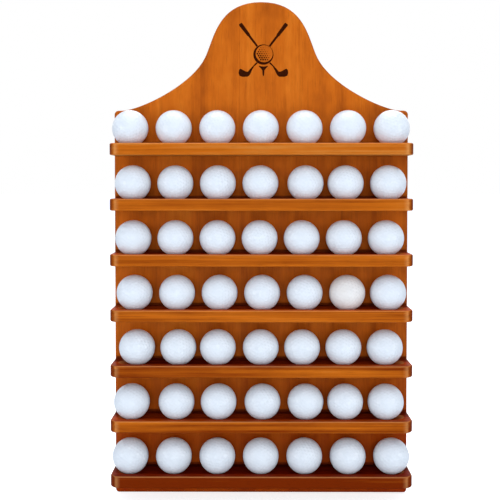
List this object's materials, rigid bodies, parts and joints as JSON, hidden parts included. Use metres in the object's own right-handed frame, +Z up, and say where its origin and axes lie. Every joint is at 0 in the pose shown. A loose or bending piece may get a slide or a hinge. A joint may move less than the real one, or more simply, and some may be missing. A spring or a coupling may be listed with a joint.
{
  "type": "golf ball display rack",
  "caption": "Wall rack of stained wood with a bell-shaped crest and open shelves, each with a stopped groove for a row of golf balls; hangs on keyhole hangers.",
  "frame": {"origin": "midway between the entry holes of the two keyhole hangers, on the back face that lies on the wall", "axes": "+Z up, +Y into the wall, -Y towards the viewer, +X to the viewer's right"},
  "size_m": [0.3556, 0.064, 0.5969],
  "materials": {
    "board_wood": "stained reddish brown, satin lacquer",
    "shelf_wood": "stained reddish brown, satin lacquer",
    "screw_steel": "zinc plated",
    "hanger_zinc": "zinc plated",
    "ball_white": "gloss, dimpled",
    "ball_cream": "gloss, dimpled"
  },
  "bodies": {
    "rack": {"backboard": "board_wood", "shelf_1": "shelf_wood", "shelf_2": "shelf_wood", "shelf_3": "shelf_wood", "shelf_4": "shelf_wood", "shelf_5": "shelf_wood", "shelf_6": "shelf_wood", "shelf_7": "shelf_wood", "shelf_screws": "screw_steel", "keyhole_hangers": "hanger_zinc", "hanger_screws": "screw_steel"},
    "ball_1_1": {"ball_1_1": "ball_white"},
    "ball_1_2": {"ball_1_2": "ball_white"},
    "ball_1_3": {"ball_1_3": "ball_white"},
    "ball_1_4": {"ball_1_4": "ball_white"},
    "ball_1_5": {"ball_1_5": "ball_white"},
    "ball_1_6": {"ball_1_6": "ball_white"},
    "ball_1_7": {"ball_1_7": "ball_white"},
    "ball_2_1": {"ball_2_1": "ball_white"},
    "ball_2_2": {"ball_2_2": "ball_white"},
    "ball_2_3": {"ball_2_3": "ball_white"},
    "ball_2_4": {"ball_2_4": "ball_white"},
    "ball_2_5": {"ball_2_5": "ball_white"},
    "ball_2_6": {"ball_2_6": "ball_white"},
    "ball_2_7": {"ball_2_7": "ball_white"},
    "ball_3_1": {"ball_3_1": "ball_white"},
    "ball_3_2": {"ball_3_2": "ball_white"},
    "ball_3_3": {"ball_3_3": "ball_white"},
    "ball_3_4": {"ball_3_4": "ball_white"},
    "ball_3_5": {"ball_3_5": "ball_white"},
    "ball_3_6": {"ball_3_6": "ball_white"},
    "ball_3_7": {"ball_3_7": "ball_white"},
    "ball_4_1": {"ball_4_1": "ball_white"},
    "ball_4_2": {"ball_4_2": "ball_white"},
    "ball_4_3": {"ball_4_3": "ball_white"},
    "ball_4_4": {"ball_4_4": "ball_white"},
    "ball_4_5": {"ball_4_5": "ball_white"},
    "ball_4_6": {"ball_4_6": "ball_cream"},
    "ball_4_7": {"ball_4_7": "ball_white"},
    "ball_5_1": {"ball_5_1": "ball_white"},
    "ball_5_2": {"ball_5_2": "ball_white"},
    "ball_5_3": {"ball_5_3": "ball_white"},
    "ball_5_4": {"ball_5_4": "ball_white"},
    "ball_5_5": {"ball_5_5": "ball_white"},
    "ball_5_6": {"ball_5_6": "ball_white"},
    "ball_5_7": {"ball_5_7": "ball_white"},
    "ball_6_1": {"ball_6_1": "ball_white"},
    "ball_6_2": {"ball_6_2": "ball_white"},
    "ball_6_3": {"ball_6_3": "ball_white"},
    "ball_6_4": {"ball_6_4": "ball_white"},
    "ball_6_5": {"ball_6_5": "ball_white"},
    "ball_6_6": {"ball_6_6": "ball_white"},
    "ball_6_7": {"ball_6_7": "ball_white"},
    "ball_7_1": {"ball_7_1": "ball_white"},
    "ball_7_2": {"ball_7_2": "ball_white"},
    "ball_7_3": {"ball_7_3": "ball_white"},
    "ball_7_4": {"ball_7_4": "ball_white"},
    "ball_7_5": {"ball_7_5": "ball_white"},
    "ball_7_6": {"ball_7_6": "ball_white"},
    "ball_7_7": {"ball_7_7": "ball_white"}
  },
  "joints": [
    {"name": "ball_1_1_lift", "type": "slide", "parent": "rack", "child": "ball_1_1", "axis": [0, -0.9397, 0.342], "range_m": [0, 0.065]},
    {"name": "ball_1_2_lift", "type": "slide", "parent": "rack", "child": "ball_1_2", "axis": [0, -0.9397, 0.342], "range_m": [0, 0.065]},
    {"name": "ball_1_3_lift", "type": "slide", "parent": "rack", "child": "ball_1_3", "axis": [0, -0.9397, 0.342], "range_m": [0, 0.065]},
    {"name": "ball_1_4_lift", "type": "slide", "parent": "rack", "child": "ball_1_4", "axis": [0, -0.9397, 0.342], "range_m": [0, 0.065]},
    {"name": "ball_1_5_lift", "type": "slide", "parent": "rack", "child": "ball_1_5", "axis": [0, -0.9397, 0.342], "range_m": [0, 0.065]},
    {"name": "ball_1_6_lift", "type": "slide", "parent": "rack", "child": "ball_1_6", "axis": [0, -0.9397, 0.342], "range_m": [0, 0.065]},
    {"name": "ball_1_7_lift", "type": "slide", "parent": "rack", "child": "ball_1_7", "axis": [0, -0.9397, 0.342], "range_m": [0, 0.065]},
    {"name": "ball_2_1_lift", "type": "slide", "parent": "rack", "child": "ball_2_1", "axis": [0, -0.9397, 0.342], "range_m": [0, 0.065]},
    {"name": "ball_2_2_lift", "type": "slide", "parent": "rack", "child": "ball_2_2", "axis": [0, -0.9397, 0.342], "range_m": [0, 0.065]},
    {"name": "ball_2_3_lift", "type": "slide", "parent": "rack", "child": "ball_2_3", "axis": [0, -0.9397, 0.342], "range_m": [0, 0.065]},
    {"name": "ball_2_4_lift", "type": "slide", "parent": "rack", "child": "ball_2_4", "axis": [0, -0.9397, 0.342], "range_m": [0, 0.065]},
    {"name": "ball_2_5_lift", "type": "slide", "parent": "rack", "child": "ball_2_5", "axis": [0, -0.9397, 0.342], "range_m": [0, 0.065]},
    {"name": "ball_2_6_lift", "type": "slide", "parent": "rack", "child": "ball_2_6", "axis": [0, -0.9397, 0.342], "range_m": [0, 0.065]},
    {"name": "ball_2_7_lift", "type": "slide", "parent": "rack", "child": "ball_2_7", "axis": [0, -0.9397, 0.342], "range_m": [0, 0.065]},
    {"name": "ball_3_1_lift", "type": "slide", "parent": "rack", "child": "ball_3_1", "axis": [0, -0.9397, 0.342], "range_m": [0, 0.065]},
    {"name": "ball_3_2_lift", "type": "slide", "parent": "rack", "child": "ball_3_2", "axis": [0, -0.9397, 0.342], "range_m": [0, 0.065]},
    {"name": "ball_3_3_lift", "type": "slide", "parent": "rack", "child": "ball_3_3", "axis": [0, -0.9397, 0.342], "range_m": [0, 0.065]},
    {"name": "ball_3_4_lift", "type": "slide", "parent": "rack", "child": "ball_3_4", "axis": [0, -0.9397, 0.342], "range_m": [0, 0.065]},
    {"name": "ball_3_5_lift", "type": "slide", "parent": "rack", "child": "ball_3_5", "axis": [0, -0.9397, 0.342], "range_m": [0, 0.065]},
    {"name": "ball_3_6_lift", "type": "slide", "parent": "rack", "child": "ball_3_6", "axis": [0, -0.9397, 0.342], "range_m": [0, 0.065]},
    {"name": "ball_3_7_lift", "type": "slide", "parent": "rack", "child": "ball_3_7", "axis": [0, -0.9397, 0.342], "range_m": [0, 0.065]},
    {"name": "ball_4_1_lift", "type": "slide", "parent": "rack", "child": "ball_4_1", "axis": [0, -0.9397, 0.342], "range_m": [0, 0.065]},
    {"name": "ball_4_2_lift", "type": "slide", "parent": "rack", "child": "ball_4_2", "axis": [0, -0.9397, 0.342], "range_m": [0, 0.065]},
    {"name": "ball_4_3_lift", "type": "slide", "parent": "rack", "child": "ball_4_3", "axis": [0, -0.9397, 0.342], "range_m": [0, 0.065]},
    {"name": "ball_4_4_lift", "type": "slide", "parent": "rack", "child": "ball_4_4", "axis": [0, -0.9397, 0.342], "range_m": [0, 0.065]},
    {"name": "ball_4_5_lift", "type": "slide", "parent": "rack", "child": "ball_4_5", "axis": [0, -0.9397, 0.342], "range_m": [0, 0.065]},
    {"name": "ball_4_6_lift", "type": "slide", "parent": "rack", "child": "ball_4_6", "axis": [0, -0.9397, 0.342], "range_m": [0, 0.065]},
    {"name": "ball_4_7_lift", "type": "slide", "parent": "rack", "child": "ball_4_7", "axis": [0, -0.9397, 0.342], "range_m": [0, 0.065]},
    {"name": "ball_5_1_lift", "type": "slide", "parent": "rack", "child": "ball_5_1", "axis": [0, -0.9397, 0.342], "range_m": [0, 0.065]},
    {"name": "ball_5_2_lift", "type": "slide", "parent": "rack", "child": "ball_5_2", "axis": [0, -0.9397, 0.342], "range_m": [0, 0.065]},
    {"name": "ball_5_3_lift", "type": "slide", "parent": "rack", "child": "ball_5_3", "axis": [0, -0.9397, 0.342], "range_m": [0, 0.065]},
    {"name": "ball_5_4_lift", "type": "slide", "parent": "rack", "child": "ball_5_4", "axis": [0, -0.9397, 0.342], "range_m": [0, 0.065]},
    {"name": "ball_5_5_lift", "type": "slide", "parent": "rack", "child": "ball_5_5", "axis": [0, -0.9397, 0.342], "range_m": [0, 0.065]},
    {"name": "ball_5_6_lift", "type": "slide", "parent": "rack", "child": "ball_5_6", "axis": [0, -0.9397, 0.342], "range_m": [0, 0.065]},
    {"name": "ball_5_7_lift", "type": "slide", "parent": "rack", "child": "ball_5_7", "axis": [0, -0.9397, 0.342], "range_m": [0, 0.065]},
    {"name": "ball_6_1_lift", "type": "slide", "parent": "rack", "child": "ball_6_1", "axis": [0, -0.9397, 0.342], "range_m": [0, 0.065]},
    {"name": "ball_6_2_lift", "type": "slide", "parent": "rack", "child": "ball_6_2", "axis": [0, -0.9397, 0.342], "range_m": [0, 0.065]},
    {"name": "ball_6_3_lift", "type": "slide", "parent": "rack", "child": "ball_6_3", "axis": [0, -0.9397, 0.342], "range_m": [0, 0.065]},
    {"name": "ball_6_4_lift", "type": "slide", "parent": "rack", "child": "ball_6_4", "axis": [0, -0.9397, 0.342], "range_m": [0, 0.065]},
    {"name": "ball_6_5_lift", "type": "slide", "parent": "rack", "child": "ball_6_5", "axis": [0, -0.9397, 0.342], "range_m": [0, 0.065]},
    {"name": "ball_6_6_lift", "type": "slide", "parent": "rack", "child": "ball_6_6", "axis": [0, -0.9397, 0.342], "range_m": [0, 0.065]},
    {"name": "ball_6_7_lift", "type": "slide", "parent": "rack", "child": "ball_6_7", "axis": [0, -0.9397, 0.342], "range_m": [0, 0.065]},
    {"name": "ball_7_1_lift", "type": "slide", "parent": "rack", "child": "ball_7_1", "axis": [0, -0.9397, 0.342], "range_m": [0, 0.065]},
    {"name": "ball_7_2_lift", "type": "slide", "parent": "rack", "child": "ball_7_2", "axis": [0, -0.9397, 0.342], "range_m": [0, 0.065]},
    {"name": "ball_7_3_lift", "type": "slide", "parent": "rack", "child": "ball_7_3", "axis": [0, -0.9397, 0.342], "range_m": [0, 0.065]},
    {"name": "ball_7_4_lift", "type": "slide", "parent": "rack", "child": "ball_7_4", "axis": [0, -0.9397, 0.342], "range_m": [0, 0.065]},
    {"name": "ball_7_5_lift", "type": "slide", "parent": "rack", "child": "ball_7_5", "axis": [0, -0.9397, 0.342], "range_m": [0, 0.065]},
    {"name": "ball_7_6_lift", "type": "slide", "parent": "rack", "child": "ball_7_6", "axis": [0, -0.9397, 0.342], "range_m": [0, 0.065]},
    {"name": "ball_7_7_lift", "type": "slide", "parent": "rack", "child": "ball_7_7", "axis": [0, -0.9397, 0.342], "range_m": [0, 0.065]}
  ]
}
